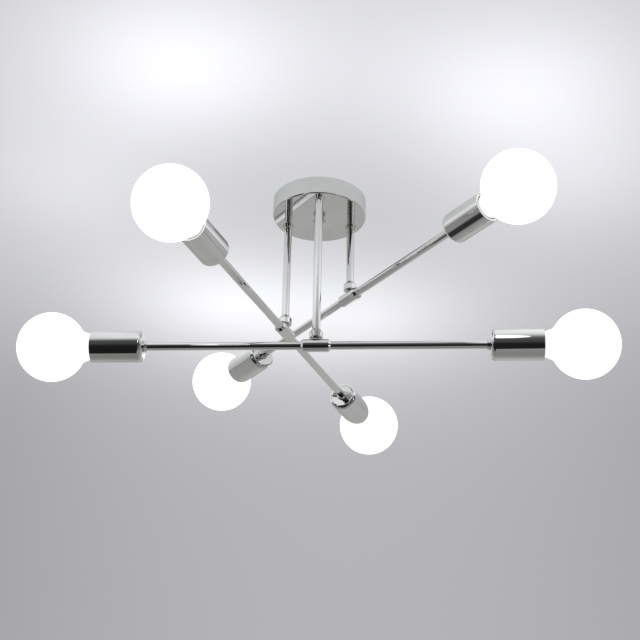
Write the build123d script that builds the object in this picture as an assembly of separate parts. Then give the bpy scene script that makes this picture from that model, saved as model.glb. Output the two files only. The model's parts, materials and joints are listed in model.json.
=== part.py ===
"""Six lamp ceiling light: a round ceiling canopy, three vertical stems of
different length, and on each stem a straight two-lamp arm that swivels.

Frame: millimetres, +Z up, origin on the ceiling plane at the canopy's centre.
Arm 1 lies nearly along X.  Each arm's own frame has its origin where the stem's axis
meets the arm's axis; u runs out along the arm, side a towards the arm's
heading and side b the other way.
"""
from build123d import *
from math import atan2, cos, degrees, hypot, pi, radians, sin, sqrt, tan
import os

# ---------------------------------------------------------------- dimensions
CANOPY_D = 115.0          # ceiling cover, outside
CANOPY_H = 23.5
CANOPY_T = 1.2            # sheet thickness
CANOPY_EDGE_R = 1.6       # pressed outer corner
STEM_PCD = 90.0           # circle of the three stems
STEM_ANGLES = (-90.0, 150.0, 30.0)
ARM_Z = (-222.0, -170.0, -122.3)      # height of each arm's axis
ARM_HEADING = (-2.5, 69.2, 124.8)     # rest heading of each arm, degrees
TUBE_D = 9.5              # stems and arms are the same tube
TUBE_BORE = 7.5
FIT = 0.05                # radial gap of screwed or brazed pieces

STEM_TOP_Z = -14.0        # stem's threaded end inside the canopy
FLANGE_D = 13.6           # ring under the canopy
FLANGE_H = 3.0
NUT_AF = 14.0
NUT_H = 4.5
NUT_COLLAR_D = 16.5

SLEEVE_D = 14.7           # tee
SLEEVE_L = 34.0
SLEEVE_BEVEL = (2.4, 2.3)             # coned ends: along, across
POST_D = 9.6              # swivel post of the tee
POST_BORE = 6.8
POST_HEAD_D = 12.4
COLLAR_D = 15.8           # swivel collar below the stem's foot
COLLAR_Z0 = 8.6           # above the arm's axis
COLLAR_Z1 = 15.7
LIP_Z = 11.9              # top of the collar's inner lip
HEAD_Z0 = 11.98
HEAD_Z1 = 13.5
SWIVEL_GAP = 0.08         # post in collar, radial
FOOT_Z0 = 13.9
FOOT_Z1 = 20.2
FOOT_TOP_D = 10.1         # small end of the foot's cone

CUP_D = 36.6              # lamp cup
CUP_U0 = 198.2            # back face, from the stem's axis
CUP_U1 = 258.4            # front rim
CUP_T = 1.0
CUP_BACK_T = 1.5
CUP_BACK_R = 5.0
CUP_NUT_L = 4.2
CUP_NUT_D = 12.8
TUBE_U0 = 4.2             # arm tube's inner end
TUBE_U1 = 209.0           # arm tube's end inside the lampholder

HOLDER_D = 33.6           # lampholder body
HOLDER_U0 = 199.75
HOLDER_U1 = 250.0
SHELL_U0 = 222.3          # threaded socket shell
SHELL_U1 = 247.6
PITCH = 25.4 / 7.0        # screw lamp thread, 7 turns per inch
CAP_ROOT_R = 12.2
CAP_BEAD_R = 1.05
CAP_BEAD_AT = 12.0        # crest at 13.05
SHELL_BORE_R = 13.45
SHELL_OUT_R = 14.2
SHELL_BEAD_R = 0.9
SHELL_BEAD_AT = 13.55     # crest at 12.65

BULB_R = 40.0             # 80 mm globe
BULB_U = 305.0            # globe's centre
BULB_WALL = 1.0
TIP_U = 226.2             # lamp's centre contact
CAP_U0 = 231.6
CAP_U1 = 254.4

BAR_L = 100.0             # crossbar behind the canopy
BAR_W = 18.0
BAR_T = 2.0
SLOT_W = 4.6
SLOT_L = 19.0
SLOT_AT = 38.5
NIPPLE_D = 9.8
FINIAL_D = 15.2           # knob that holds the canopy up
FINIAL_H = 10.4
FINIAL_NECK_D = 11.2
BLOCK = (32.0, 16.0, 13.0)            # terminal block
BLOCK_AT = (0.0, 27.5, -13.6)
WIRE_D = 1.7

os.makedirs("parts", exist_ok=True)
NODES = {}


def add(name, *solids):
    NODES.setdefault(name, []).extend(solids)


# ------------------------------------------------------------------- helpers
def outline(points, rounds=None):
    """Closed face in the XZ plane through (x, z) points; rounds gives a corner
    radius by point number."""
    rounds = rounds or {}
    n = len(points)
    starts, ends, arcs = [], [], []
    for i, p in enumerate(points):
        r = rounds.get(i)
        if not r:
            starts.append(p)
            ends.append(p)
            arcs.append(None)
            continue
        a, b = points[i - 1], points[(i + 1) % n]
        ax, az = a[0] - p[0], a[1] - p[1]
        bx, bz = b[0] - p[0], b[1] - p[1]
        la, lb = hypot(ax, az), hypot(bx, bz)
        ax, az, bx, bz = ax / la, az / la, bx / lb, bz / lb
        turn = pi - abs(atan2(ax * bz - az * bx, ax * bx + az * bz))
        d = r * tan(turn / 2)
        mx, mz = ax + bx, az + bz
        lm = hypot(mx, mz)
        mx, mz = mx / lm, mz / lm
        k = hypot(d, r)
        starts.append((p[0] + ax * d, p[1] + az * d))
        ends.append((p[0] + bx * d, p[1] + bz * d))
        arcs.append((p[0] + mx * (k - r), p[1] + mz * (k - r)))
    edges = []
    v = lambda q: Vector(q[0], 0, q[1])
    for i in range(n):
        if arcs[i]:
            edges.append(Edge.make_three_point_arc(v(starts[i]), v(arcs[i]), v(ends[i])))
        j = (i + 1) % n
        if hypot(ends[i][0] - starts[j][0], ends[i][1] - starts[j][1]) > 1e-6:
            edges.append(Edge.make_line(v(ends[i]), v(starts[j])))
    return Face(Wire(edges))


def solid_of(shape):
    return shape.solids()[0]


def turned_u(points, rounds=None):
    """Turned piece about the arm's axis: (u, radius) points."""
    return solid_of(revolve(outline(points, rounds), Axis.X))


def turned_z(points, rounds=None):
    """Turned piece about a vertical axis: (radius, z) points."""
    return solid_of(revolve(outline(points, rounds), Axis.Z))


def ring_z(r0, r1, z0, z1):
    return turned_z([(r0, z0), (r1, z0), (r1, z1), (r0, z1)])


def rod_z(r, z0, z1, x=0.0, y=0.0):
    return Pos(x, y, (z0 + z1) / 2) * Cylinder(r, z1 - z0)


def rod_u(r, u0, u1):
    return Pos((u0 + u1) / 2, 0, 0) * Rot(0, 90, 0) * Cylinder(r, u1 - u0)


def bead_u(section_r, at_r, u0, turns):
    """Helical bead about the arm's axis, starting at u0 on the +Z side."""
    path = Helix(PITCH, PITCH * turns, at_r)
    section = Plane(origin=path @ 0, z_dir=path % 0) * Circle(section_r)
    bead = sweep(section, path=path, is_frenet=True)
    return Pos(u0, 0, 0) * Rot(0, 90, 0) * bead


def wire_path(points, radii):
    """Round lead along straight runs joined by tangent arcs."""
    path = FilletPolyline(*points, radius=radii)
    section = Plane(origin=path @ 0, z_dir=path % 0) * Circle(WIRE_D / 2)
    return solid_of(sweep(section, path=path))


def hexagon_nut(af, z0, z1, bore_r, collar_d=None, collar_h=0.0):
    """Hexagon nut standing on a round serrated foot."""
    body = extrude(RegularPolygon(af / sqrt(3), 6), z1 - z0 - collar_h)
    body = Pos(0, 0, z0 + collar_h) * body
    crown = turned_z([(0, z0), (af / 2 + 1.25, z0), (af / 2 + 1.25, z1 - 1.0),
                      (af / 2, z1), (0, z1)])
    body = body & crown
    if collar_d:
        body = body + rod_z(collar_d / 2, z0, z0 + collar_h)
    return solid_of(body - rod_z(bore_r, z0 - 1, z1 + 1))


STEM_XY = [(STEM_PCD / 2 * cos(radians(a)), STEM_PCD / 2 * sin(radians(a)))
           for a in STEM_ANGLES]
TUBE_R = TUBE_D / 2
BORE_R = TUBE_R + FIT

# ------------------------------------------------- ceiling canopy and crossbar
rc, hc, tc = CANOPY_D / 2, CANOPY_H, CANOPY_T
canopy = turned_z(
    [(0, -hc), (rc, -hc), (rc, 0), (rc - tc, 0), (rc - tc, -hc + tc), (0, -hc + tc)],
    {1: CANOPY_EDGE_R, 4: CANOPY_EDGE_R - 0.8})
for x, y in STEM_XY:
    canopy = canopy - rod_z(BORE_R + 0.1, -hc - 1, -hc + tc + 1, x, y)
canopy = canopy - rod_z(NIPPLE_D / 2 + 0.4, -hc - 1, -hc + tc + 1)
add("canopy", solid_of(canopy))

bar = Pos(0, 0, -BAR_T / 2) * Box(BAR_L, BAR_W, BAR_T)
bar = fillet(bar.edges().filter_by(Axis.Z), 5.0)
for side in (-1, 1):
    slot = extrude(SlotOverall(SLOT_L, SLOT_W), 3 * BAR_T)
    bar = bar - Pos(side * SLOT_AT, 0, -2 * BAR_T) * slot
bar = bar - rod_z(NIPPLE_D / 2 + FIT, -5, 5) - rod_z(1.95, -5, 5, -18.5, 0)
add("crossbar", solid_of(bar))

nipple = ring_z(3.5, NIPPLE_D / 2, -29.2, -0.4)
add("threaded_nipple", nipple)
add("nipple_nut", hexagon_nut(NUT_AF, -BAR_T - 5.05, -BAR_T - 0.05, NIPPLE_D / 2 + FIT))

rf, zf = FINIAL_D / 2, -hc - 0.05
finial = turned_z(
    [(0, zf), (FINIAL_NECK_D / 2, zf), (FINIAL_NECK_D / 2, zf - 0.6), (rf, zf - 3.2), (rf, zf - 8.4),
     (4.2, zf - FINIAL_H), (0, zf - FINIAL_H)], {3: 3.0, 4: 4.0, 5: 5.0})
finial = finial - rod_z(NIPPLE_D / 2 + FIT, zf - 5.9, zf + 1)
add("finial", solid_of(finial))

head = turned_z([(0, -BAR_T - 2.5), (3.6, -BAR_T - 2.5), (3.6, -BAR_T - 0.05), (1.9, -BAR_T - 0.05),
                 (1.9, -0.3), (0, -0.3)], {1: 0.8})
head = head - Pos(0, 0, -BAR_T - 2.5) * Box(8, 0.9, 1.6)
add("ground_screw", Pos(-18.5, 0, 0) * solid_of(head))

# ---------------------------------------------------------------- stems
for i, ((x, y), za) in enumerate(zip(STEM_XY, ARM_Z), 1):
    at = Pos(x, y, 0)
    add(f"stem_{i}", at * ring_z(TUBE_BORE / 2, TUBE_R, za + FOOT_Z0, STEM_TOP_Z))
    add("stem_flanges", at * turned_z(
        [(BORE_R, -hc - FLANGE_H), (FLANGE_D / 2 - 0.9, -hc - FLANGE_H), (FLANGE_D / 2, -hc - FLANGE_H + 0.9),
         (FLANGE_D / 2, -hc - 0.05), (BORE_R, -hc - 0.05)]))
    add("stem_lock_nuts", at * hexagon_nut(NUT_AF, -hc + tc + 0.05, -hc + tc + 0.05 + NUT_H, BORE_R, NUT_COLLAR_D, 1.2))
    up = Pos(x, y, za)
    add("stem_feet", up * turned_z(
        [(BORE_R, FOOT_Z0), (6.3, FOOT_Z0), (6.3, COLLAR_Z1 + 0.05), (COLLAR_D / 2, COLLAR_Z1 + 0.05),
         (COLLAR_D / 2, COLLAR_Z1 + 0.6), (FOOT_TOP_D / 2, FOOT_Z1), (BORE_R, FOOT_Z1)]))
    add("swivel_collars", up * turned_z(
        [(POST_D / 2 + SWIVEL_GAP, COLLAR_Z0), (COLLAR_D / 2, COLLAR_Z0), (COLLAR_D / 2, COLLAR_Z1), (6.35, COLLAR_Z1),
         (6.35, LIP_Z), (POST_D / 2 + SWIVEL_GAP, LIP_Z)], {1: 0.7}))

# ------------------------------------------------------- one arm, own frame
rs = SLEEVE_D / 2
hs = SLEEVE_L / 2
bu, br = SLEEVE_BEVEL
tee = turned_u([(-hs, 0), (-hs, rs - br), (-hs + bu, rs), (hs - bu, rs), (hs, rs - br), (hs, 0)],
               {2: 0.6, 3: 0.6})
post = turned_z([(0, 0), (POST_D / 2, 0), (POST_D / 2, HEAD_Z0), (POST_HEAD_D / 2, HEAD_Z0),
                 (POST_HEAD_D / 2, HEAD_Z1), (0, HEAD_Z1)])
tee = tee + post
tee = tee - rod_u(BORE_R, -hs - 1, hs + 1) - rod_z(POST_BORE / 2, 0, HEAD_Z1 + 1)
tee = solid_of(tee)

tube = turned_u([(TUBE_U0, TUBE_BORE / 2), (TUBE_U1, TUBE_BORE / 2), (TUBE_U1, TUBE_R), (TUBE_U0, TUBE_R)])

cup_r = CUP_D / 2
cup = turned_u(
    [(CUP_U0, BORE_R), (CUP_U0 + CUP_BACK_T, BORE_R), (CUP_U0 + CUP_BACK_T, cup_r - CUP_T),
     (CUP_U1, cup_r - CUP_T), (CUP_U1, cup_r), (CUP_U0, cup_r)],
    {2: CUP_BACK_R - 1.2, 4: 0.4, 5: CUP_BACK_R})

cup_nut = turned_u(
    [(CUP_U0 - 0.05, BORE_R), (CUP_U0 - 0.05, CUP_NUT_D / 2), (CUP_U0 - 1.5, CUP_NUT_D / 2),
     (CUP_U0 - CUP_NUT_L, TUBE_R + 0.6), (CUP_U0 - CUP_NUT_L, BORE_R)])

hr = HOLDER_D / 2
holder = turned_u(
    [(HOLDER_U0, BORE_R), (210.0, BORE_R), (210.0, 10.5), (218.2, 10.5), (218.2, 5.2), (221.6, 5.2),
     (221.6, SHELL_OUT_R + 0.1), (HOLDER_U1, SHELL_OUT_R + 0.1), (HOLDER_U1, hr), (HOLDER_U0, hr)],
    {8: 0.6, 9: 4.6})
# two terminal windows in the lampholder's side
for side in (-1, 1):
    holder = holder - Pos(214.2, side * 13.5, 0) * Box(5.0, 8.0, 6.0)
holder = solid_of(holder)

# threaded socket shell: plain outside, rounded helical thread inside
shell = turned_u(
    [(SHELL_U0 - 0.6, 6.2), (SHELL_U0, 6.2), (SHELL_U0, SHELL_BORE_R), (SHELL_U1, SHELL_BORE_R),
     (SHELL_U1, SHELL_OUT_R), (SHELL_U0 - 0.6, SHELL_OUT_R)])
thread_u0 = 229.2
shell = shell + (bead_u(SHELL_BEAD_R, SHELL_BEAD_AT, thread_u0 + PITCH / 2, 4.4)
                 & turned_u([(SHELL_U0, 12.0), (SHELL_U1, 12.0), (SHELL_U1, SHELL_OUT_R - 0.2), (SHELL_U0, SHELL_OUT_R - 0.2)]))
shell = solid_of(shell)

# spring tongue that meets the lamp's tip
c0 = 218.6
contact = extrude(Plane.XZ * make_face(Polyline(
    (c0, -4.6), (c0 + 0.6, -4.6), (c0 + 0.6, -1.0), (TIP_U - 2.4, 3.4), (TIP_U - 0.7, 0.9), (TIP_U - 0.1, 0.9),
    (TIP_U - 0.1, 1.3), (TIP_U - 2.1, 4.2), (TIP_U - 2.8, 4.2), (c0, -0.4), close=True)), 2.2, both=True)
contact = solid_of(contact)

# lamp: tip and glass insulator, screw cap, globe
tip = turned_u([(TIP_U, 0), (TIP_U, 2.2), (TIP_U + 1.6, 4.6), (TIP_U + 2.4, 4.6), (TIP_U + 2.4, 0)], {1: 0.8})
insulator = turned_u([(TIP_U + 2.4, 0), (TIP_U + 2.4, 5.6), (CAP_U0 - 0.9, 9.6), (CAP_U0 + 1.8, 9.6), (CAP_U0 + 1.8, 0)])

blank = turned_u([(CAP_U0, 0), (CAP_U0, 11.2), (CAP_U0 + 1.0, CAP_ROOT_R), (249.3, CAP_ROOT_R), (250.1, 13.3),
                  (CAP_U1, 13.3), (CAP_U1, 0)])
cap = blank + bead_u(CAP_BEAD_R, CAP_BEAD_AT, thread_u0 + PITCH, 4.3)
cap = cap - turned_u([(CAP_U0 - 1, 0), (CAP_U0 - 1, 9.65), (CAP_U0 + 2.0, 9.65), (CAP_U0 + 2.0, 11.7), (250.8, 11.7),
                      (250.8, 12.95), (CAP_U1 + 1, 12.95), (CAP_U1 + 1, 0)])
cap = solid_of(cap)


def globe_outline(inset):
    """Outer (inset 0) or inner side of the globe: neck, flared throat tangent
    to the sphere, sphere.  Points are (u, r) and arcs."""
    slope, fillet_r = 0.2, 10.0
    n = hypot(1, slope)
    nu, nr = -slope / n, 1 / n
    base_u, base_r = 258.4, 15.2
    lo, hi = 0.0, 20.0
    for _ in range(80):
        s = (lo + hi) / 2
        pu, pr = base_u + s, base_r + slope * s
        cu, cr = pu + fillet_r * nu, pr + fillet_r * nr
        if hypot(BULB_U - cu, cr) > BULB_R + fillet_r:
            lo = s
        else:
            hi = s
    k = fillet_r + inset
    foot = (cu - k * nu, cr - k * nr)
    d = hypot(BULB_U - cu, cr)
    on = (cu + (BULB_U - cu) / d * k, cr - cr / d * k)
    mid_u, mid_r = (foot[0] + on[0]) / 2 - cu, (foot[1] + on[1]) / 2 - cr
    m = hypot(mid_u, mid_r)
    mid = (cu + mid_u / m * k, cr + mid_r / m * k)
    rb = BULB_R - inset
    a0 = atan2(on[1], on[0] - BULB_U)
    top = (BULB_U + rb * cos(a0 / 2), rb * sin(a0 / 2))
    pole = (BULB_U + rb, 0.0)
    neck = 12.85 - inset
    start = (251.2, neck)
    knee_u = 254.8
    return start, (knee_u, neck), foot, mid, on, top, pole


v2 = lambda q: Vector(q[0], 0, q[1])
so, ko, fo, mo, oo, to, po = globe_outline(0.0)
si, ki, fi, mi, oi, ti, pi_ = globe_outline(BULB_WALL)
globe_face = Face(Wire([
    Edge.make_line(v2(so), v2(ko)), Edge.make_line(v2(ko), v2(fo)),
    Edge.make_three_point_arc(v2(fo), v2(mo), v2(oo)), Edge.make_three_point_arc(v2(oo), v2(to), v2(po)),
    Edge.make_line(v2(po), v2(pi_)),
    Edge.make_three_point_arc(v2(pi_), v2(ti), v2(oi)), Edge.make_three_point_arc(v2(oi), v2(mi), v2(fi)),
    Edge.make_line(v2(fi), v2(ki)), Edge.make_line(v2(ki), v2(si)), Edge.make_line(v2(si), v2(so)),
]))
globe = solid_of(revolve(globe_face, Axis.X))

# lamp leads: two from each lampholder, along the tube and up the swivel post
lead_pair = [wire_path([(215.0, side * 1.05, 0), (1.05, side * 1.05, 0), (1.05, side * 1.05, HEAD_Z1 - 0.1)], 4.6)
             for side in (-1, 1)]

# ------------------------------------------------------------ place the arms
for i, ((x, y), za, heading) in enumerate(zip(STEM_XY, ARM_Z, ARM_HEADING), 1):
    for side, turn in (("a", 0.0), ("b", 180.0)):
        at = Pos(x, y, za) * Rot(0, 0, heading + turn)
        if side == "a":
            add(f"tee_{i}", at * tee)
        add(f"arm_tubes_{i}", at * tube)
        add(f"cup_nuts_{i}", at * cup_nut)
        add(f"lamp_cup_{i}{side}", at * cup)
        add(f"lampholders_{i}", at * holder)
        add(f"socket_shells_{i}", at * shell)
        add(f"socket_contacts_{i}", at * contact)
        add(f"arm_leads_{i}", *[at * w for w in lead_pair])
        add(f"bulb_{i}{side}_tip", at * tip, at * insulator)
        add(f"bulb_{i}{side}_cap", at * cap)
        add(f"bulb_{i}{side}_globe", at * globe)

# ------------------------------------- terminal block and leads in the canopy
bx, by, bz = BLOCK
block = Pos(*BLOCK_AT) * Box(bx, by, bz)
block = fillet(block.edges().filter_by(Axis.Z), 1.5)
for k in (-10.5, 0.0, 10.5):
    block = block - rod_z(2.2, BLOCK_AT[2] - bz, BLOCK_AT[2] - bz / 2 + 4.0, BLOCK_AT[0] + k, BLOCK_AT[1])
add("terminal_block", solid_of(block))

for i, ((x, y), za) in enumerate(zip(STEM_XY, ARM_Z), 1):
    # heading of the leads over the canopy's floor, and where they meet the block
    if i == 1:
        tx, ty = 13.5, BLOCK_AT[1] - by / 2
    else:
        tx, ty = BLOCK_AT[0] + (-1 if i == 2 else 1) * bx / 2, y
    hx, hy = tx - x, ty - y
    run = hypot(hx, hy)
    hx, hy = hx / run, hy / run
    for along, level in ((-1.05, -8.6), (1.05, -10.7)):
        for across in (-1.05, 1.05):
            ox, oy = along * hx - across * hy, along * hy + across * hx
            ex, ey = -across * hy, across * hx
            # stop just short of the block's face
            if i == 1:
                stop = (BLOCK_AT[1] - by / 2 - 0.6 - (y + ey)) / hy
            else:
                stop = run - 0.15
            pts = [(x + ox, y + oy, za + FOOT_Z0 + 0.2), (x + ox, y + oy, level),
                   (x + ex + stop * hx, y + ey + stop * hy, level)]
            add("canopy_leads", wire_path(pts, 4.0))

# ----------------------------------------------------------------- write STEP
for name, solids in NODES.items():
    shape = solids[0] if len(solids) == 1 else Compound(children=list(solids))
    export_step(shape, f"parts/{name}.step")
print(len(NODES), "nodes")
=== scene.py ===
import json
import math

import bmesh
import bpy
from mathutils import Matrix, Vector


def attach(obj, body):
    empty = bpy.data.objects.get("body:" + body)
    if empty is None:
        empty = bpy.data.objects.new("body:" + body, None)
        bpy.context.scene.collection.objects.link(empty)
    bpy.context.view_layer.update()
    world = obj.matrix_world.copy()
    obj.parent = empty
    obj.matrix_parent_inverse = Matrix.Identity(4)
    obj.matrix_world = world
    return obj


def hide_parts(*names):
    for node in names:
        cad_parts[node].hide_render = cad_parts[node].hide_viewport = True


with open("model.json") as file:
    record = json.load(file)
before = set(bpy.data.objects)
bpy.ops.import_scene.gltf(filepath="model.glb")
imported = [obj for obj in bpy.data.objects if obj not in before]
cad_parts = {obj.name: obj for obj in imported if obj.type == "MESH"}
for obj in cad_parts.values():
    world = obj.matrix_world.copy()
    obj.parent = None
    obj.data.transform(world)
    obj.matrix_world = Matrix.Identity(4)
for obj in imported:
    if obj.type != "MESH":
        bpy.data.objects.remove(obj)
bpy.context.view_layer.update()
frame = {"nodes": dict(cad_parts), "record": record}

MM = 0.001
NODES = frame["nodes"]
SCENE = bpy.context.scene

# ------------------------------------------------------------------ CAD numbers
STEM_R = 45.0
STEM_ANGLES = (-90.0, 150.0, 30.0)
ARM_Z = (-222.0, -170.0, -122.3)
ARM_HEADING = (-2.5, 69.2, 124.8)
STEMS = [(STEM_R * math.cos(math.radians(a)), STEM_R * math.sin(math.radians(a))) for a in STEM_ANGLES]
CANOPY_R, CANOPY_H = 57.5, 23.5
TUBE_R = 4.75
BORE_R = 4.8
SIDES = (("a", 0.0), ("b", 180.0))


def along_z(x, y, z=0.0):
    """Place for a turned piece: its own axis, local X, stands along +Z."""
    return (Matrix.Translation((x * MM, y * MM, z * MM)) @ Matrix.Rotation(math.radians(-90.0), 4, "Y")
            @ Matrix.Scale(MM, 4))


def along_arm(i, side):
    """Place for a piece of arm i: local X runs out along the arm."""
    x, y = STEMS[i - 1]
    heading = ARM_HEADING[i - 1] + (180.0 if side == "b" else 0.0)
    return (Matrix.Translation((x * MM, y * MM, ARM_Z[i - 1] * MM))
            @ Matrix.Rotation(math.radians(heading), 4, "Z") @ Matrix.Scale(MM, 4))


# ----------------------------------------------------------------- mesh helpers
def corner(p, a, b, r, steps):
    """Arc of radius r in the corner p between the directions to a and to b."""
    p, a, b = Vector(p), Vector(a), Vector(b)
    da, db = (a - p).normalized(), (b - p).normalized()
    turn = math.pi - da.angle(db)
    d = r * math.tan(turn / 2)
    centre = p + (da + db).normalized() * math.hypot(d, r)
    v0, v1 = p + da * d - centre, p + db * d - centre
    phi = v0.angle(v1)
    arc = []
    for k in range(steps + 1):
        t = k / steps
        v = (v0 * math.sin((1 - t) * phi) + v1 * math.sin(t * phi)) / math.sin(phi)
        arc.append(tuple(centre + v))
    return arc


def rounded(points, rounds=None, steps=8, support=0.12, closed=True):
    """Profile with an arc at each numbered corner.  Each straight run gets a
    point close to both its ends, which keeps the shading of the run even."""
    rounds = rounds or {}
    n = len(points)
    out = []
    for i, p in enumerate(points):
        r = rounds.get(i)
        out.append(corner(p, points[i - 1], points[(i + 1) % n], r, steps) if r else [tuple(p)])
    path = []
    for i in range(n):
        path += out[i]
        if i == n - 1 and not closed:
            break
        p, q = Vector(out[i][-1]), Vector(out[(i + 1) % n][0])
        run = (q - p).length
        if run > 5 * support:
            u = (q - p) / run
            path += [tuple(p + u * support), tuple(q - u * support)]
    return path


def mesh_piece(name, verts, faces, sharp=38.0):
    me = bpy.data.meshes.new(name)
    me.from_pydata([tuple(v) for v in verts], [], faces)
    bm = bmesh.new()
    bm.from_mesh(me)
    bmesh.ops.recalc_face_normals(bm, faces=bm.faces)
    bm.to_mesh(me)
    bm.free()
    me.shade_smooth()
    me.set_sharp_from_angle(angle=math.radians(sharp))
    o = bpy.data.objects.new(name, me)
    SCENE.collection.objects.link(o)
    return o


def turned(name, profile, place, seg=96, sharp=38.0, shape=None):
    """Lathe: a closed (along, radius) profile swept round local X.  shape may
    change the radius by place along and angle, for a thread or serration."""
    verts, rows = [], []
    for a, r in profile:
        if r < 1e-6:
            rows.append([len(verts)])
            verts.append(place @ Vector((a, 0, 0)))
            continue
        row = []
        for k in range(seg):
            t = 2 * math.pi * k / seg
            q = shape(a, r, t) if shape else r
            row.append(len(verts))
            verts.append(place @ Vector((a, q * math.cos(t), q * math.sin(t))))
        rows.append(row)
    faces = []
    for i in range(len(rows)):
        p, q = rows[i], rows[(i + 1) % len(rows)]
        if len(p) == 1 and len(q) == 1:
            continue
        for k in range(seg):
            j = (k + 1) % seg
            if len(p) == 1:
                faces.append((p[0], q[j], q[k]))
            elif len(q) == 1:
                faces.append((p[k], p[j], q[0]))
            else:
                faces.append((p[k], p[j], q[j], q[k]))
    return mesh_piece(name, verts, faces, sharp)


def join(name, pieces):
    """One object from several, for a group of identical pieces."""
    bm = bmesh.new()
    for o in pieces:
        bm.from_mesh(o.data)
    me = bpy.data.meshes.new(name)
    bm.to_mesh(me)
    bm.free()
    for o in pieces:
        old = o.data
        bpy.data.objects.remove(o)
        bpy.data.meshes.remove(old)
    o = bpy.data.objects.new(name, me)
    SCENE.collection.objects.link(o)
    return o


def put(piece, body, slot, material, *nodes):
    piece.data.materials.clear()
    piece.data.materials.append(material)
    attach(piece, body)
    if nodes:
        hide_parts(*nodes)
    return piece


def cut(piece, cutters):
    """Takes the cutters' volume out of a piece and applies it to the mesh."""
    for c in cutters:
        m = piece.modifiers.new("cut", "BOOLEAN")
        m.operation = "DIFFERENCE"
        m.solver = "EXACT"
        m.object = c
    bpy.context.view_layer.update()
    made = bpy.data.meshes.new_from_object(piece.evaluated_get(bpy.context.evaluated_depsgraph_get()))
    piece.modifiers.clear()
    old = piece.data
    made.name = piece.name
    piece.data = made
    bpy.data.meshes.remove(old)
    for c in cutters:
        old = c.data
        bpy.data.objects.remove(c)
        bpy.data.meshes.remove(old)
    bm = bmesh.new()
    bm.from_mesh(made)
    bmesh.ops.remove_doubles(bm, verts=bm.verts, dist=2e-6)
    bmesh.ops.dissolve_degenerate(bm, edges=bm.edges, dist=1e-6)
    bm.to_mesh(made)
    bm.free()
    made.shade_smooth()
    made.set_sharp_from_angle(angle=math.radians(30.0))
    return piece


# -------------------------------------------------------------------- materials
def new_material(name):
    m = bpy.data.materials.new(name)
    m.use_nodes = True
    nt = m.node_tree
    return m, nt, nt.nodes["Principled BSDF"]


def noise(nt, scale, detail=2.0, rough=0.5, stretch=None):
    tc = nt.nodes.get("coords") or nt.nodes.new("ShaderNodeTexCoord")
    tc.name = "coords"
    n = nt.nodes.new("ShaderNodeTexNoise")
    n.inputs["Scale"].default_value = scale
    n.inputs["Detail"].default_value = detail
    n.inputs["Roughness"].default_value = rough
    if stretch:
        mp = nt.nodes.new("ShaderNodeMapping")
        mp.inputs["Scale"].default_value = stretch
        nt.links.new(tc.outputs["Object"], mp.inputs["Vector"])
        nt.links.new(mp.outputs["Vector"], n.inputs["Vector"])
    else:
        nt.links.new(tc.outputs["Object"], n.inputs["Vector"])
    return n


def ramp(nt, source, stops):
    r = nt.nodes.new("ShaderNodeValToRGB")
    el = r.color_ramp.elements
    el[0].position, el[0].color = stops[0][0], (*stops[0][1], 1)
    el[1].position, el[1].color = stops[-1][0], (*stops[-1][1], 1)
    for p, c in stops[1:-1]:
        e = el.new(p)
        e.color = (*c, 1)
    nt.links.new(source, r.inputs["Fac"])
    return r


def spread(nt, source, low, high):
    m = nt.nodes.new("ShaderNodeMapRange")
    m.inputs["From Min"].default_value = 0.3
    m.inputs["From Max"].default_value = 0.7
    m.inputs["To Min"].default_value = low
    m.inputs["To Max"].default_value = high
    nt.links.new(source, m.inputs["Value"])
    return m.outputs["Result"]


def bump(nt, bsdf, source, strength, distance):
    b = nt.nodes.new("ShaderNodeBump")
    b.inputs["Strength"].default_value = strength
    b.inputs["Distance"].default_value = distance
    nt.links.new(source, b.inputs["Height"])
    nt.links.new(b.outputs["Normal"], bsdf.inputs["Normal"])


def metal(name, dark, light, rough, scale=26.0, wave=0.0, wave_scale=14.0):
    """Bare or plated metal: slow drift of tone, finer change of polish, and
    where it is plated sheet or tube a trace of waviness."""
    m, nt, b = new_material(name)
    b.inputs["Metallic"].default_value = 1.0
    b.inputs["Specular Tint"].default_value = (0.8, 0.8, 0.8, 1.0)
    drift = noise(nt, scale, 3.0, 0.55)
    tone = ramp(nt, drift.outputs["Fac"], [(0.34, dark), (0.66, light)])
    nt.links.new(tone.outputs["Color"], b.inputs["Base Color"])
    polish = noise(nt, scale * 9, 4.0, 0.6)
    nt.links.new(spread(nt, polish.outputs["Fac"], *rough), b.inputs["Roughness"])
    if wave:
        swell = noise(nt, wave_scale, 1.0, 0.4)
        bump(nt, b, swell.outputs["Fac"], wave, 0.0006)
    return m


def plastic(name, dark, light, rough, scale=60.0, grain=0.0):
    m, nt, b = new_material(name)
    drift = noise(nt, scale, 4.0, 0.6)
    tone = ramp(nt, drift.outputs["Fac"], [(0.3, dark), (0.7, light)])
    nt.links.new(tone.outputs["Color"], b.inputs["Base Color"])
    fine = noise(nt, scale * 30, 3.0, 0.6)
    nt.links.new(spread(nt, fine.outputs["Fac"], *rough), b.inputs["Roughness"])
    if grain:
        bump(nt, b, fine.outputs["Fac"], grain, 0.0001)
    return m


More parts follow.
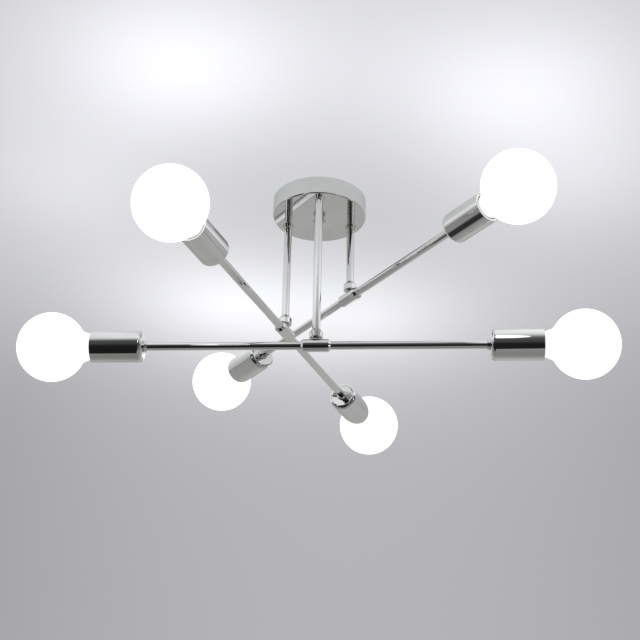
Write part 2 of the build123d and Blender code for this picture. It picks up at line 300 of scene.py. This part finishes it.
def opal(name):
    """Lit opal glass: milky white with faint clouding, glossy skin.  The glow
    fades towards the neck, as the mesh's own glow value says."""
    m, nt, b = new_material(name)
    cloud = noise(nt, 22.0, 3.0, 0.5)
    milk = ramp(nt, cloud.outputs["Fac"], [(0.3, (0.90, 0.90, 0.89)), (0.7, (0.97, 0.97, 0.96))])
    nt.links.new(milk.outputs["Color"], b.inputs["Base Color"])
    lit = ramp(nt, cloud.outputs["Fac"], [(0.3, (0.97, 0.97, 0.965)), (0.7, (1.0, 1.0, 1.0))])
    at = nt.nodes.new("ShaderNodeAttribute")
    at.attribute_name = "glow"
    fade = nt.nodes.new("ShaderNodeMix")
    fade.data_type = "RGBA"
    fade.blend_type = "MULTIPLY"
    fade.inputs["Factor"].default_value = 1.0
    nt.links.new(lit.outputs["Color"], [k for k in fade.inputs if k.name == "A" and k.type == "RGBA"][0])
    nt.links.new(at.outputs["Color"], [k for k in fade.inputs if k.name == "B" and k.type == "RGBA"][0])
    nt.links.new([k for k in fade.outputs if k.type == "RGBA"][0], b.inputs["Emission Color"])
    b.inputs["Emission Strength"].default_value = 1.15
    fine = noise(nt, 240.0, 2.0, 0.5)
    nt.links.new(spread(nt, fine.outputs["Fac"], 0.16, 0.24), b.inputs["Roughness"])
    return m


CHROME = metal("chrome_polished", (0.735, 0.738, 0.732), (0.79, 0.793, 0.786), (0.018, 0.042), wave=0.012)
STEM_CHROME = metal("chrome_stem", (0.735, 0.738, 0.732), (0.79, 0.793, 0.786), (0.07, 0.10), wave=0.012)
OPAL = opal("opal_lit")
NICKEL = metal("nickel_plain", (0.58, 0.57, 0.54), (0.72, 0.71, 0.68), (0.2, 0.32))
BRASS = metal("brass_plain", (0.66, 0.48, 0.22), (0.82, 0.64, 0.34), (0.22, 0.36))
ZINC = metal("zinc_plated", (0.52, 0.54, 0.56), (0.70, 0.71, 0.72), (0.26, 0.42), scale=40.0)
PHENOLIC = plastic("phenolic_black", (0.016, 0.016, 0.018), (0.04, 0.04, 0.045), (0.45, 0.6), grain=0.15)
VITRITE = plastic("vitrite_black", (0.01, 0.01, 0.012), (0.03, 0.03, 0.035), (0.1, 0.2))
WHITE = plastic("moulded_white", (0.74, 0.74, 0.72), (0.86, 0.86, 0.84), (0.35, 0.5), grain=0.1)
LEAD = plastic("lead_sleeve", (0.78, 0.78, 0.75), (0.90, 0.90, 0.87), (0.3, 0.45))
BY_SLOT = {"chrome": CHROME, "opal_globe": OPAL, "nickel_cap": NICKEL, "brass": BRASS, "black_phenolic": PHENOLIC,
           "black_glass": VITRITE, "zinc_steel": ZINC, "white_plastic": WHITE, "lead_insulation": LEAD}

for sub in frame["record"]["subparts"]:
    o = NODES[sub["node"]]
    o.data.materials.clear()
    o.data.materials.append(STEM_CHROME if sub["node"] in ("stem_1", "stem_2", "stem_3") else BY_SLOT[sub["material_slot"]])

ROOT = "ceiling_assembly"

# ------------------------------------------------------------- ceiling canopy
rc, hc, tc = CANOPY_R, CANOPY_H, 1.2
rings = (14.0, 25.0, 36.0, 53.5)
canopy = turned("canopy_shell", rounded(
    [(-hc + tc, 5.3), (-hc, 5.3)] + [(-hc, r) for r in rings]
    + [(-hc, rc), (-0.55, rc), (0, rc - 0.5), (0, rc - tc), (-0.6, rc - tc - 0.35), (-1.8, rc - tc), (-hc + tc, rc - tc)]
    + [(-hc + tc, r) for r in rings[::-1]],
    {6: 1.6, 7: 0.3, 8: 0.35, 9: 0.3, 10: 0.35, 11: 0.6, 12: 0.8}, steps=7), along_z(0, 0), seg=192)
cut(canopy, [turned(f"hole_{k}", [(-hc - 2, 0), (-hc - 2, BORE_R + 0.1), (-hc + 4, BORE_R + 0.1), (-hc + 4, 0)],
                    along_z(x, y), seg=64) for k, (x, y) in enumerate(STEMS)])
put(canopy, ROOT, "chrome", CHROME, "canopy")

zf = -hc - 0.05
knob = [(zf - 5.5 + 4.85 * math.cos(math.radians(a)), 7.6 * math.sin(math.radians(a))) for a in range(48, 177, 4)]
finial = turned("finial_knob", [(zf, 4.95), (zf, 5.35), (zf - 0.08, 5.52), (zf - 0.25, 5.6), (zf - 1.7, 5.6), (zf - 2.0, 5.6)]
                + knob + [(zf - 10.35, 0), (zf - 5.9, 0), (zf - 5.9, 4.95)], along_z(0, 0), seg=96)
put(finial, ROOT, "chrome", CHROME, "finial")


def threaded(name, x, y, z0, z1, root, crest, bore, pitch, place=along_z):
    """Tube with a rolled outside thread."""
    rows = int((z1 - z0) / pitch * 9)
    prof = [(z0, bore)] + [(z0 + (z1 - z0) * k / rows, crest) for k in range(rows + 1)] + [(z1, bore)]

    def wave(a, r, t):
        if r == bore:
            return r
        ease = min(1.0, (a - z0) / 0.5, (z1 - a) / 0.5)
        ph = (a / pitch - t / (2 * math.pi)) % 1.0
        return root + (crest - root) * (1 - abs(2 * ph - 1)) * max(0.0, ease)
    return turned(name, prof, place(x, y), seg=56, sharp=60.0, shape=wave)


put(threaded("nipple_thread", 0, 0, -29.2, -0.4, 4.5, 4.9, 3.5, 1.25), ROOT, "zinc_steel", ZINC, "threaded_nipple")
put(join("stem_threads", [threaded(f"thread_{i}", x, y, -18.6, -14.05, 4.74, 4.95, 4.0, 1.0)
                          for i, (x, y) in enumerate(STEMS)]), ROOT, "zinc_steel", ZINC)

# --------------------------------------------------- flanges, feet and collars
flanges, feet, collars = [], [], []
for i, ((x, y), za) in enumerate(zip(STEMS, ARM_Z)):
    flanges.append(turned(f"flange_{i}", rounded(
        [(-hc - 3.0, BORE_R), (-hc - 3.0, 5.95), (-hc - 2.15, 6.8), (-hc - 0.05, 6.8), (-hc - 0.05, BORE_R)],
        {1: 0.3, 2: 0.5, 3: 0.2}, steps=5), along_z(x, y), seg=72))
    feet.append(turned(f"foot_{i}", rounded(
        [(13.9, BORE_R), (13.9, 6.3), (15.75, 6.3), (15.75, 7.9), (16.3, 7.9), (20.2, 5.05), (20.2, BORE_R)],
        {3: 0.12, 4: 0.5, 5: 0.12}, steps=6), along_z(x, y, za), seg=80))
    collars.append(turned(f"collar_{i}", rounded(
        [(8.6, 4.88), (8.6, 7.9), (15.7, 7.9), (15.7, 6.35), (11.9, 6.35), (11.9, 4.88)],
        {0: 0.3, 1: 0.75, 2: 0.12}, steps=6), along_z(x, y, za), seg=80))
put(join("stem_ring_flanges", flanges), ROOT, "chrome", CHROME, "stem_flanges")
put(join("stem_coned_feet", feet), ROOT, "chrome", CHROME, "stem_feet")
put(join("stem_swivel_collars", collars), ROOT, "chrome", CHROME, "swivel_collars")

# ------------------------------------------------------------------ terminal block
BX, BY, BZ = 0.0, 27.5, -13.6


def block_ring(x, inset, n=6):
    """Rounded rectangle across the block at x, pulled in by inset."""
    hy, hz, r = 8.0 - inset, 6.5 - inset, 1.4
    pts = []
    for cy, cz, a0 in ((1, 1, 0), (-1, 1, 90), (-1, -1, 180), (1, -1, 270)):
        for k in range(n + 1):
            a = math.radians(a0 + 90 * k / n)
            pts.append(Vector(((BX + x) * MM, (BY + cy * (hy - r) + r * math.cos(a)) * MM,
                               (BZ + cz * (hz - r) + r * math.sin(a)) * MM)))
    return pts


stations = [(-16.0, 0.9), (-15.75, 0.35), (-15.3, 0.05), (-15.0, 0.0)]
for g in (-5.3, 5.3):
    stations += [(g - 1.2, 0.0), (g - 0.9, 0.06), (g - 0.6, 0.4), (g - 0.45, 1.0), (g, 1.1), (g + 0.45, 1.0),
                 (g + 0.6, 0.4), (g + 0.9, 0.06), (g + 1.2, 0.0)]
stations += [(15.0, 0.0), (15.3, 0.05), (15.75, 0.35), (16.0, 0.9)]
bv, bf = [], []
for x, inset in stations:
    bv += block_ring(x, inset)
m_ = len(bv) // len(stations)
for s in range(len(stations) - 1):
    for k in range(m_):
        j = (k + 1) % m_
        bf.append((s * m_ + k, s * m_ + j, (s + 1) * m_ + j, (s + 1) * m_ + k))
bf += [tuple(range(m_)), tuple(range((len(stations) - 1) * m_, len(stations) * m_))]
block = mesh_piece("terminal_strip", bv, bf, sharp=50.0)
cut(block, [turned(f"well_{k}", [(-3.2, 0), (-3.2, 2.5), (2, 2.5), (2, 0)], along_z(BX + k, BY, BZ + 6.5), seg=40)
            for k in (-10.6, 0.0, 10.6)])
put(block, ROOT, "white_plastic", WHITE, "terminal_block")
heads = []
for k in (-10.6, 0.0, 10.6):
    head = turned(f"head_{k}", rounded([(-3.4, 0), (-3.4, 2.35), (-1.6, 2.35), (-1.45, 0)], {2: 0.35}, steps=4),
                  along_z(BX + k, BY, BZ + 6.5), seg=40)
    slot_box = mesh_piece("slot", [Vector(((BX + k + a * 3) * MM, (BY + b * 0.42) * MM, (BZ + 6.5 + c) * MM))
                                   for a in (-1, 1) for b in (-1, 1) for c in (-2.25, 0.5)],
                          [(0, 1, 3, 2), (4, 6, 7, 5), (0, 4, 5, 1), (2, 3, 7, 6), (0, 2, 6, 4), (1, 5, 7, 3)])
    heads.append(cut(head, [slot_box]))
put(join("terminal_screws", heads), ROOT, "brass", BRASS)

# ----------------------------------------------------------------- arms and lamps
for i in (1, 2, 3):
    body = f"arm_{i}"
    # brazed fillet where the swivel post leaves the tee's sleeve
    rp, rs, w = 4.8, 7.35, 0.75
    place = along_arm(i, "a")
    fv, ff, nt_, ns = [], [], 72, 6
    for k in range(nt_):
        t = 2 * math.pi * k / nt_
        c, s = math.cos(t), math.sin(t)
        on_sleeve = lambda r: math.sqrt(max(rs * rs - (r * s) ** 2, 0.0))
        z0 = on_sleeve(rp)
        a, b, q = Vector((rp, z0 + w)), Vector((rp, z0)), Vector((rp + w, on_sleeve(rp + w)))
        for j in range(ns + 1):
            f = j / ns
            v = a * (1 - f) ** 2 + b * 2 * f * (1 - f) + q * f * f
            fv.append(place @ Vector((v.x * c, v.x * s, v.y)))
        fv.append(place @ Vector(((rp - 0.2) * c, (rp - 0.2) * s, z0 - 0.35)))
    row = ns + 2
    for k in range(nt_):
        j = (k + 1) % nt_
        for u in range(row):
            x = (u + 1) % row
            ff.append((k * row + u, j * row + u, j * row + x, k * row + x))
    put(mesh_piece(f"tee_fillet_{i}", fv, ff, sharp=40.0), body, "chrome", CHROME)

    nuts = []
    for side, _turn in SIDES:
        place = along_arm(i, side)
        cup = turned(f"lamp_cup_shell_{i}{side}", rounded(
            [(198.2, BORE_R), (199.7, BORE_R), (199.7, 17.3), (256.6, 17.3), (257.0, 17.05), (258.4, 17.05), (258.4, 18.3),
             (198.2, 18.3)], {2: 3.8, 3: 0.3, 4: 0.2, 5: 0.45, 6: 0.5, 7: 5.0}, steps=12), place, seg=128)
        put(cup, body, "chrome", CHROME, f"lamp_cup_{i}{side}")
        nuts.append(turned(f"nut_{side}", rounded(
            [(198.15, BORE_R), (198.15, 6.4), (196.7, 6.4), (194.0, 5.35), (194.0, BORE_R)],
            {1: 0.12, 2: 0.35, 3: 0.25}, steps=5), place, seg=72))

        # globe: neck, flared throat, sphere, with the wall's inside
        slope, fr, R, U = 0.2, 10.0, 40.0, 305.0
        nn = math.hypot(1, slope)
        nu, nr = -slope / nn, 1 / nn
        lo, hi = 0.0, 20.0
        for _ in range(80):
            s = (lo + hi) / 2
            cu, cr = 258.4 + s + fr * nu, 15.2 + slope * s + fr * nr
            lo, hi = (s, hi) if math.hypot(U - cu, cr) > R + fr else (lo, s)
        prof = []
        for inset in (0.0, 1.0):
            k = fr + inset
            a0 = math.atan2(-nr, -nu)
            a1 = math.atan2(-cr, U - cu)
            arc = [(cu + k * math.cos(a0 + (a1 - a0) * f / 12), cr + k * math.sin(a0 + (a1 - a0) * f / 12))
                   for f in range(13)]
            rb = R - inset
            b0 = math.atan2(arc[-1][1], arc[-1][0] - U)
            ball = [(U + rb * math.cos(b0 * (1 - f / 44)), rb * math.sin(b0 * (1 - f / 44))) for f in range(1, 44)]
            run = [(251.2, 12.85 - inset), (254.8, 12.85 - inset)] + arc + ball + [(U + rb, 0.0)]
            prof += run if inset == 0.0 else run[::-1]
        globe = turned(f"globe_{i}{side}", prof, place, seg=128, sharp=60.0)
        back_ = place.inverted()
        glow = globe.data.color_attributes.new("glow", "FLOAT_COLOR", "POINT")
        for k, v in enumerate(globe.data.vertices):
            t = min(1.0, max(0.0, ((back_ @ v.co).x - 257.6) / 1.9))
            g = 0.16 + 0.84 * t * t * (3 - 2 * t)
            glow.data[k].color = (g, g, g, 1.0)
        put(globe, f"bulb_{i}{side}", "opal_globe", OPAL, f"bulb_{i}{side}_globe")
        # white collar that seats the glass on its cap, just inside the cup's mouth
        seat = turned(f"bulb_seat_{i}{side}", rounded(
            [(254.7, 14.2), (256.4, 14.55), (256.4, 16.6), (254.7, 16.6)], {1: 0.1, 2: 0.5, 3: 0.3}, steps=5), place, seg=96)
        put(seat, f"bulb_{i}{side}", "white_plastic", WHITE)
    put(join(f"cup_ring_nuts_{i}", nuts), body, "chrome", CHROME, f"cup_nuts_{i}")

# ------------------------------------------------------------------------ stage
LAMPS = []
for i in (1, 2, 3):
    for side, turn in SIDES:
        h = math.radians(ARM_HEADING[i - 1] + turn)
        LAMPS.append(((STEMS[i - 1][0] + 305 * math.cos(h)) * MM, (STEMS[i - 1][1] + 305 * math.sin(h)) * MM, 0.0))


def math_node(nt, op, a, b=None):
    n = nt.nodes.new("ShaderNodeMath")
    n.operation = op
    for k, v in enumerate((a, b)):
        if v is None:
            continue
        if isinstance(v, (int, float)):
            n.inputs[k].default_value = v
        else:
            nt.links.new(v, n.inputs[k])
    return n.outputs["Value"]


def pools(nt, where, peaks, reach):
    """Soft round pools of light above the six lamps: peak * (1 + (d/reach)^2)^-1.5."""
    total = None
    for lamp, peak in zip(LAMPS, peaks):
        n = nt.nodes.new("ShaderNodeVectorMath")
        n.operation = "DISTANCE"
        nt.links.new(where, n.inputs[0])
        n.inputs[1].default_value = lamp
        d = math_node(nt, "DIVIDE", n.outputs["Value"], reach)
        e = math_node(nt, "POWER", math_node(nt, "ADD", math_node(nt, "MULTIPLY", d, d), 1.0), -1.5)
        e = math_node(nt, "MULTIPLY", e, peak)
        total = e if total is None else math_node(nt, "ADD", total, e)
    return total


def smooth(nt, value, low, high, to_low=0.0, to_high=1.0):
    n = nt.nodes.new("ShaderNodeMapRange")
    n.interpolation_type = "SMOOTHSTEP"
    n.inputs["From Min"].default_value = low
    n.inputs["From Max"].default_value = high
    n.inputs["To Min"].default_value = to_low
    n.inputs["To Max"].default_value = to_high
    nt.links.new(value, n.inputs["Value"])
    return n.outputs["Result"]


def disc(name, radius, z, down=False):
    me = bpy.data.meshes.new(name)
    bm = bmesh.new()
    bmesh.ops.create_circle(bm, cap_ends=True, radius=radius, segments=96)
    if down:
        bmesh.ops.reverse_faces(bm, faces=bm.faces)
    bm.to_mesh(me)
    bm.free()
    o = bpy.data.objects.new(name, me)
    o.location = (0, 0, z)
    SCENE.collection.objects.link(o)
    return o


# Pale floor well below, fading out into the room so that no horizon shows, and
# clear from underneath.
floor = disc("studio_floor", 6.0, -2.6)
fm, fnt, fb = new_material("studio_floor")
fn = noise(fnt, 0.8, 2.0)
fr_ = ramp(fnt, fn.outputs["Fac"], [(0.3, (0.50, 0.50, 0.515)), (0.7, (0.54, 0.54, 0.555))])
fnt.links.new(fr_.outputs["Color"], fb.inputs["Base Color"])
fg_ = ramp(fnt, fn.outputs["Fac"], [(0.3, (0.40, 0.40, 0.415)), (0.7, (0.42, 0.42, 0.435))])
fnt.links.new(fg_.outputs["Color"], fb.inputs["Emission Color"])
fb.inputs["Emission Strength"].default_value = 1.0
fb.inputs["Roughness"].default_value = 0.8
f_len = fnt.nodes.new("ShaderNodeVectorMath")
f_len.operation = "LENGTH"
fnt.links.new(fnt.nodes["coords"].outputs["Object"], f_len.inputs[0])
f_geo = fnt.nodes.new("ShaderNodeNewGeometry")
fnt.links.new(math_node(fnt, "MULTIPLY", smooth(fnt, f_len.outputs["Value"], 1.2, 5.8, 1.0, 0.0),
                        math_node(fnt, "SUBTRACT", 1.0, f_geo.outputs["Backfacing"])), fb.inputs["Alpha"])
floor.data.materials.append(fm)
floor.visible_glossy = False

# Overhead soft light: a wide luminous panel at the ceiling's height, pale all
# over with a pool of light above each lamp.  It shines and shows only
# downwards, so that the object can be looked at from above too.
panel = disc("overhead_soft_light", 9.0, 0.003, down=True)
pm = bpy.data.materials.new("overhead_soft_light")
pm.use_nodes = True
pt = pm.node_tree
pt.nodes.clear()
p_tc = pt.nodes.new("ShaderNodeTexCoord")
p_xyz = pt.nodes.new("ShaderNodeSeparateXYZ")
pt.links.new(p_tc.outputs["Object"], p_xyz.inputs["Vector"])
GAIN = 1.17
PEAK_SEEN = (0.18, 0.19, 0.32, 0.48, 0.45, 0.40)
PEAK_LIT = (0.56, 0.31, 0.32, 0.48, 0.50, 0.21)
where = p_tc.outputs["Object"]
rim = pt.nodes.new("ShaderNodeVectorMath")
rim.operation = "DISTANCE"
pt.links.new(where, rim.inputs[0])
rim.inputs[1].default_value = (-0.008, 0.012, 0.0)
rim = math_node(pt, "MAXIMUM", math_node(pt, "SUBTRACT", rim.outputs["Value"], CANOPY_R * MM), 0.0)


def shade(depth, reach):
    """Soft shadow round the canopy: 1 - depth * exp(-(d/reach)^2)."""
    d = math_node(pt, "DIVIDE", rim, reach)
    e = math_node(pt, "EXPONENT", math_node(pt, "MULTIPLY", math_node(pt, "MULTIPLY", d, d), -1.0))
    return math_node(pt, "SUBTRACT", 1.0, math_node(pt, "MULTIPLY", e, depth))


slant = math_node(pt, "SUBTRACT", p_xyz.outputs["Y"], math_node(pt, "MULTIPLY", p_xyz.outputs["X"], 0.3))
lit = math_node(pt, "ADD", smooth(pt, slant, -0.56, -0.12, 0.06, 0.48), pools(pt, where, PEAK_LIT, 0.184))
lit = math_node(pt, "MULTIPLY", lit, shade(0.335, 0.25))
corner_ = math_node(pt, "ADD", math_node(pt, "MULTIPLY", p_xyz.outputs["X"], 0.6), math_node(pt, "MULTIPLY", p_xyz.outputs["Y"], 0.8))
lit = math_node(pt, "MULTIPLY", lit, smooth(pt, corner_, 0.28, 0.60, GAIN, GAIN * 0.84))
seen = math_node(pt, "ADD", smooth(pt, p_xyz.outputs["Y"], -0.24, 0.64, 0.49, 0.437), pools(pt, where, PEAK_SEEN, 0.184))
seen = math_node(pt, "MULTIPLY", seen, shade(0.15, 0.21))
# the far part falls off a little to both sides
aside = math_node(pt, "DIVIDE", p_xyz.outputs["X"], math_node(pt, "ADD", p_xyz.outputs["Y"], 1.437))
aside = math_node(pt, "SUBTRACT", aside, 0.02)
fall = math_node(pt, "SUBTRACT", 0.06, math_node(pt, "MULTIPLY", math_node(pt, "MULTIPLY", aside, aside), 2.5))
fall = math_node(pt, "MULTIPLY", math_node(pt, "MAXIMUM", fall, -0.12), smooth(pt, p_xyz.outputs["Y"], 0.1, 0.7))
seen = math_node(pt, "MULTIPLY", seen, math_node(pt, "ADD", fall, 1.0))
far = smooth(pt, rim, 1.5, 8.0)
seen = math_node(pt, "ADD", math_node(pt, "MULTIPLY", seen, math_node(pt, "SUBTRACT", 1.0, far)),
                 math_node(pt, "MULTIPLY", far, 0.44))
p_path = pt.nodes.new("ShaderNodeLightPath")
p_geo = pt.nodes.new("ShaderNodeNewGeometry")
em_lit, em_seen = pt.nodes.new("ShaderNodeEmission"), pt.nodes.new("ShaderNodeEmission")
em_lit.inputs["Color"].default_value = (0.99, 1.0, 1.015, 1)
tint = ramp(pt, smooth(pt, p_xyz.outputs["Y"], 0.25, 0.55), [(0.0, (0.976, 0.98, 1.026)), (1.0, (0.989, 0.98, 1.034))])
pt.links.new(tint.outputs["Color"], em_seen.inputs["Color"])
pt.links.new(lit, em_lit.inputs["Strength"])
pt.links.new(seen, em_seen.inputs["Strength"])
pick, side_mix = pt.nodes.new("ShaderNodeMixShader"), pt.nodes.new("ShaderNodeMixShader")
clear = pt.nodes.new("ShaderNodeBsdfTransparent")
p_out = pt.nodes.new("ShaderNodeOutputMaterial")
pt.links.new(p_path.outputs["Is Camera Ray"], pick.inputs["Fac"])
pt.links.new(em_lit.outputs["Emission"], pick.inputs[1])
pt.links.new(em_seen.outputs["Emission"], pick.inputs[2])
pt.links.new(p_geo.outputs["Backfacing"], side_mix.inputs["Fac"])
pt.links.new(pick.outputs["Shader"], side_mix.inputs[1])
pt.links.new(clear.outputs["BSDF"], side_mix.inputs[2])
pt.links.new(side_mix.outputs["Shader"], p_out.inputs["Surface"])
panel.data.materials.append(pm)

# A dark card low behind on the left, only ever seen mirrored in the metal.
card_to = Vector((169.0, -165.0, -122.0)) * MM
card_dir = Vector((-0.624, 0.332, -0.707)).normalized()
card = disc("studio_dark_card", 0.56, 0.0)
card.matrix_world = Matrix.Translation(card_to + card_dir * 1.35) @ (-card_dir).to_track_quat("Z", "Y").to_matrix().to_4x4()
for flag in ("visible_camera", "visible_diffuse", "visible_transmission", "visible_volume_scatter", "visible_shadow"):
    setattr(card, flag, False)
km = bpy.data.materials.new("studio_dark_card")
km.use_nodes = True
kt = km.node_tree
kt.nodes.clear()
k_tc = kt.nodes.new("ShaderNodeTexCoord")
k_len = kt.nodes.new("ShaderNodeVectorMath")
k_len.operation = "LENGTH"
kt.links.new(k_tc.outputs["Object"], k_len.inputs[0])
k_em, k_clear = kt.nodes.new("ShaderNodeEmission"), kt.nodes.new("ShaderNodeBsdfTransparent")
k_em.inputs["Color"].default_value = (1.0, 1.0, 0.985, 1)
k_em.inputs["Strength"].default_value = 0.033
k_mix, k_out = kt.nodes.new("ShaderNodeMixShader"), kt.nodes.new("ShaderNodeOutputMaterial")
k_path = kt.nodes.new("ShaderNodeLightPath")
k_near = smooth(kt, k_path.outputs["Ray Length"], 1.295, 1.325, 1.0, 0.0)
kt.links.new(math_node(kt, "MAXIMUM", smooth(kt, k_len.outputs["Value"], 0.22, 0.54), k_near), k_mix.inputs["Fac"])
kt.links.new(k_em.outputs["Emission"], k_mix.inputs[1])
kt.links.new(k_clear.outputs["BSDF"], k_mix.inputs[2])
kt.links.new(k_mix.outputs["Shader"], k_out.inputs["Surface"])
card.data.materials.append(km)

# A small grey card above the far right lamp, as grey as the room behind it and
# clear from underneath: it keeps that lamp's mirror image out of the canopy.
gm = bpy.data.meshes.new("studio_grey_card")
gm.from_pydata([(0.004, 0.030, 0), (0.092, 0.030, 0), (0.092, 0.180, 0), (0.004, 0.180, 0)], [], [(0, 1, 2, 3)])
grey = bpy.data.objects.new("studio_grey_card", gm)
grey.location = (0, 0, -0.080)
SCENE.collection.objects.link(grey)
for flag in ("visible_camera", "visible_diffuse", "visible_transmission", "visible_volume_scatter", "visible_shadow"):
    setattr(grey, flag, False)
gmat = bpy.data.materials.new("studio_grey_card")
gmat.use_nodes = True
gt = gmat.node_tree
gt.nodes.clear()
g_geo, g_em = gt.nodes.new("ShaderNodeNewGeometry"), gt.nodes.new("ShaderNodeEmission")
g_em.inputs["Color"].default_value = (1.0, 1.0, 0.985, 1)
g_em.inputs["Strength"].default_value = 0.464
g_clear, g_mix = gt.nodes.new("ShaderNodeBsdfTransparent"), gt.nodes.new("ShaderNodeMixShader")
g_out = gt.nodes.new("ShaderNodeOutputMaterial")
gt.links.new(g_geo.outputs["Backfacing"], g_mix.inputs["Fac"])
gt.links.new(g_em.outputs["Emission"], g_mix.inputs[1])
gt.links.new(g_clear.outputs["BSDF"], g_mix.inputs[2])
gt.links.new(g_mix.outputs["Shader"], g_out.inputs["Surface"])
gm.materials.append(gmat)

# The room below: pale behind the lamp, dim towards the viewer.
world = bpy.data.worlds.new("studio")
SCENE.world = world
world.use_nodes = True
wt = world.node_tree
wt.nodes.clear()
out = wt.nodes.new("ShaderNodeOutputWorld")
coords = wt.nodes.new("ShaderNodeTexCoord")
axes = wt.nodes.new("ShaderNodeSeparateXYZ")
wt.links.new(coords.outputs["Generated"], axes.inputs["Vector"])
elev = math_node(wt, "ADD", math_node(wt, "DIVIDE", math_node(wt, "ARCSINE", axes.outputs["Z"]), math.pi), 0.5)


def tone_ramp(stops, tint):
    return ramp(wt, elev, [(e / 180.0 + 0.5, tuple(v * c for c in tint)) for e, v in stops]).outputs["Color"]


def wmix(fac, a, b):
    n = wt.nodes.new("ShaderNodeMix")
    n.data_type = "RGBA"
    wt.links.new(fac, n.inputs["Factor"])
    for key, v in (("A", a), ("B", b)):
        sock = [s for s in n.inputs if s.name == key and s.type == "RGBA"][0]
        if isinstance(v, tuple):
            sock.default_value = v
        else:
            wt.links.new(v, sock)
    return [s for s in n.outputs if s.type == "RGBA"][0]


WARM = (1.0, 1.0, 0.985)
back = tone_ramp([(-90, 0.20), (-62, 0.22), (-50, 0.29), (-40, 0.36), (-30, 0.42), (-18, 0.455), (0, 0.465), (90, 0.465)], WARM)
near_floor = tone_ramp([(-90, 0.21), (-55, 0.27), (-30, 0.12), (0, 0.06), (90, 0.06)], WARM)
dim = tone_ramp([(-90, 0.012), (-22, 0.012), (-13, 0.026), (-5, 0.052), (4, 0.06), (90, 0.06)], WARM)
room = wmix(smooth(wt, axes.outputs["Y"], -0.7, 1.05), near_floor, back)
edge = math_node(wt, "ADD", axes.outputs["Y"], math_node(wt, "MULTIPLY", axes.outputs["X"], 1.18))
dark = math_node(wt, "MULTIPLY", smooth(wt, edge, -0.50, -0.42, 1.0, 0.0), smooth(wt, axes.outputs["Y"], -0.27, -0.12, 1.0, 0.0))
room = wmix(dark, room, dim)
bg_gain = smooth(wt, axes.outputs["X"], -0.25, 0.25, GAIN * 0.94, GAIN * 1.07)
bg_room = wt.nodes.new("ShaderNodeBackground")
bg_seen = wt.nodes.new("ShaderNodeBackground")
wt.links.new(room, bg_room.inputs["Color"])
wt.links.new(bg_gain, bg_room.inputs["Strength"])
bg_seen.inputs["Color"].default_value = (0.983, 0.98, 1.03, 1)
bg_seen.inputs["Strength"].default_value = 0.44
light_path = wt.nodes.new("ShaderNodeLightPath")
choose = wt.nodes.new("ShaderNodeMixShader")
wt.links.new(light_path.outputs["Is Camera Ray"], choose.inputs["Fac"])
wt.links.new(bg_room.outputs["Background"], choose.inputs[1])
wt.links.new(bg_seen.outputs["Background"], choose.inputs[2])
wt.links.new(choose.outputs["Shader"], out.inputs["Surface"])

SCENE.view_settings.view_transform = "Standard"
SCENE.view_settings.look = "None"

# ----------------------------------------------------------------------- camera
F_PX, PITCH, ROLL, YAW = 1360.6904, 27.4008, 1.1885, -0.9004
EYE = Vector((25.9892, -1437.0941, -910.7104)) * MM
p, r, y = (math.radians(v) for v in (PITCH, ROLL, YAW))
forward = Vector((math.sin(y) * math.cos(p), math.cos(y) * math.cos(p), math.sin(p)))
right = Vector((math.cos(y), -math.sin(y), 0.0))
up = right.cross(forward)
right2 = right * math.cos(r) + up * math.sin(r)
up2 = up * math.cos(r) - right * math.sin(r)
cam_data = bpy.data.cameras.new("photo_camera")
cam_data.sensor_fit = "HORIZONTAL"
cam_data.sensor_width = 36.0
cam_data.lens = F_PX / 640.0 * 36.0
cam_data.clip_start, cam_data.clip_end = 0.05, 100.0
cam = bpy.data.objects.new("photo_camera", cam_data)
SCENE.collection.objects.link(cam)
cam.matrix_world = Matrix((
    (right2.x, up2.x, -forward.x, EYE.x),
    (right2.y, up2.y, -forward.y, EYE.y),
    (right2.z, up2.z, -forward.z, EYE.z),
    (0, 0, 0, 1)))
SCENE.camera = cam
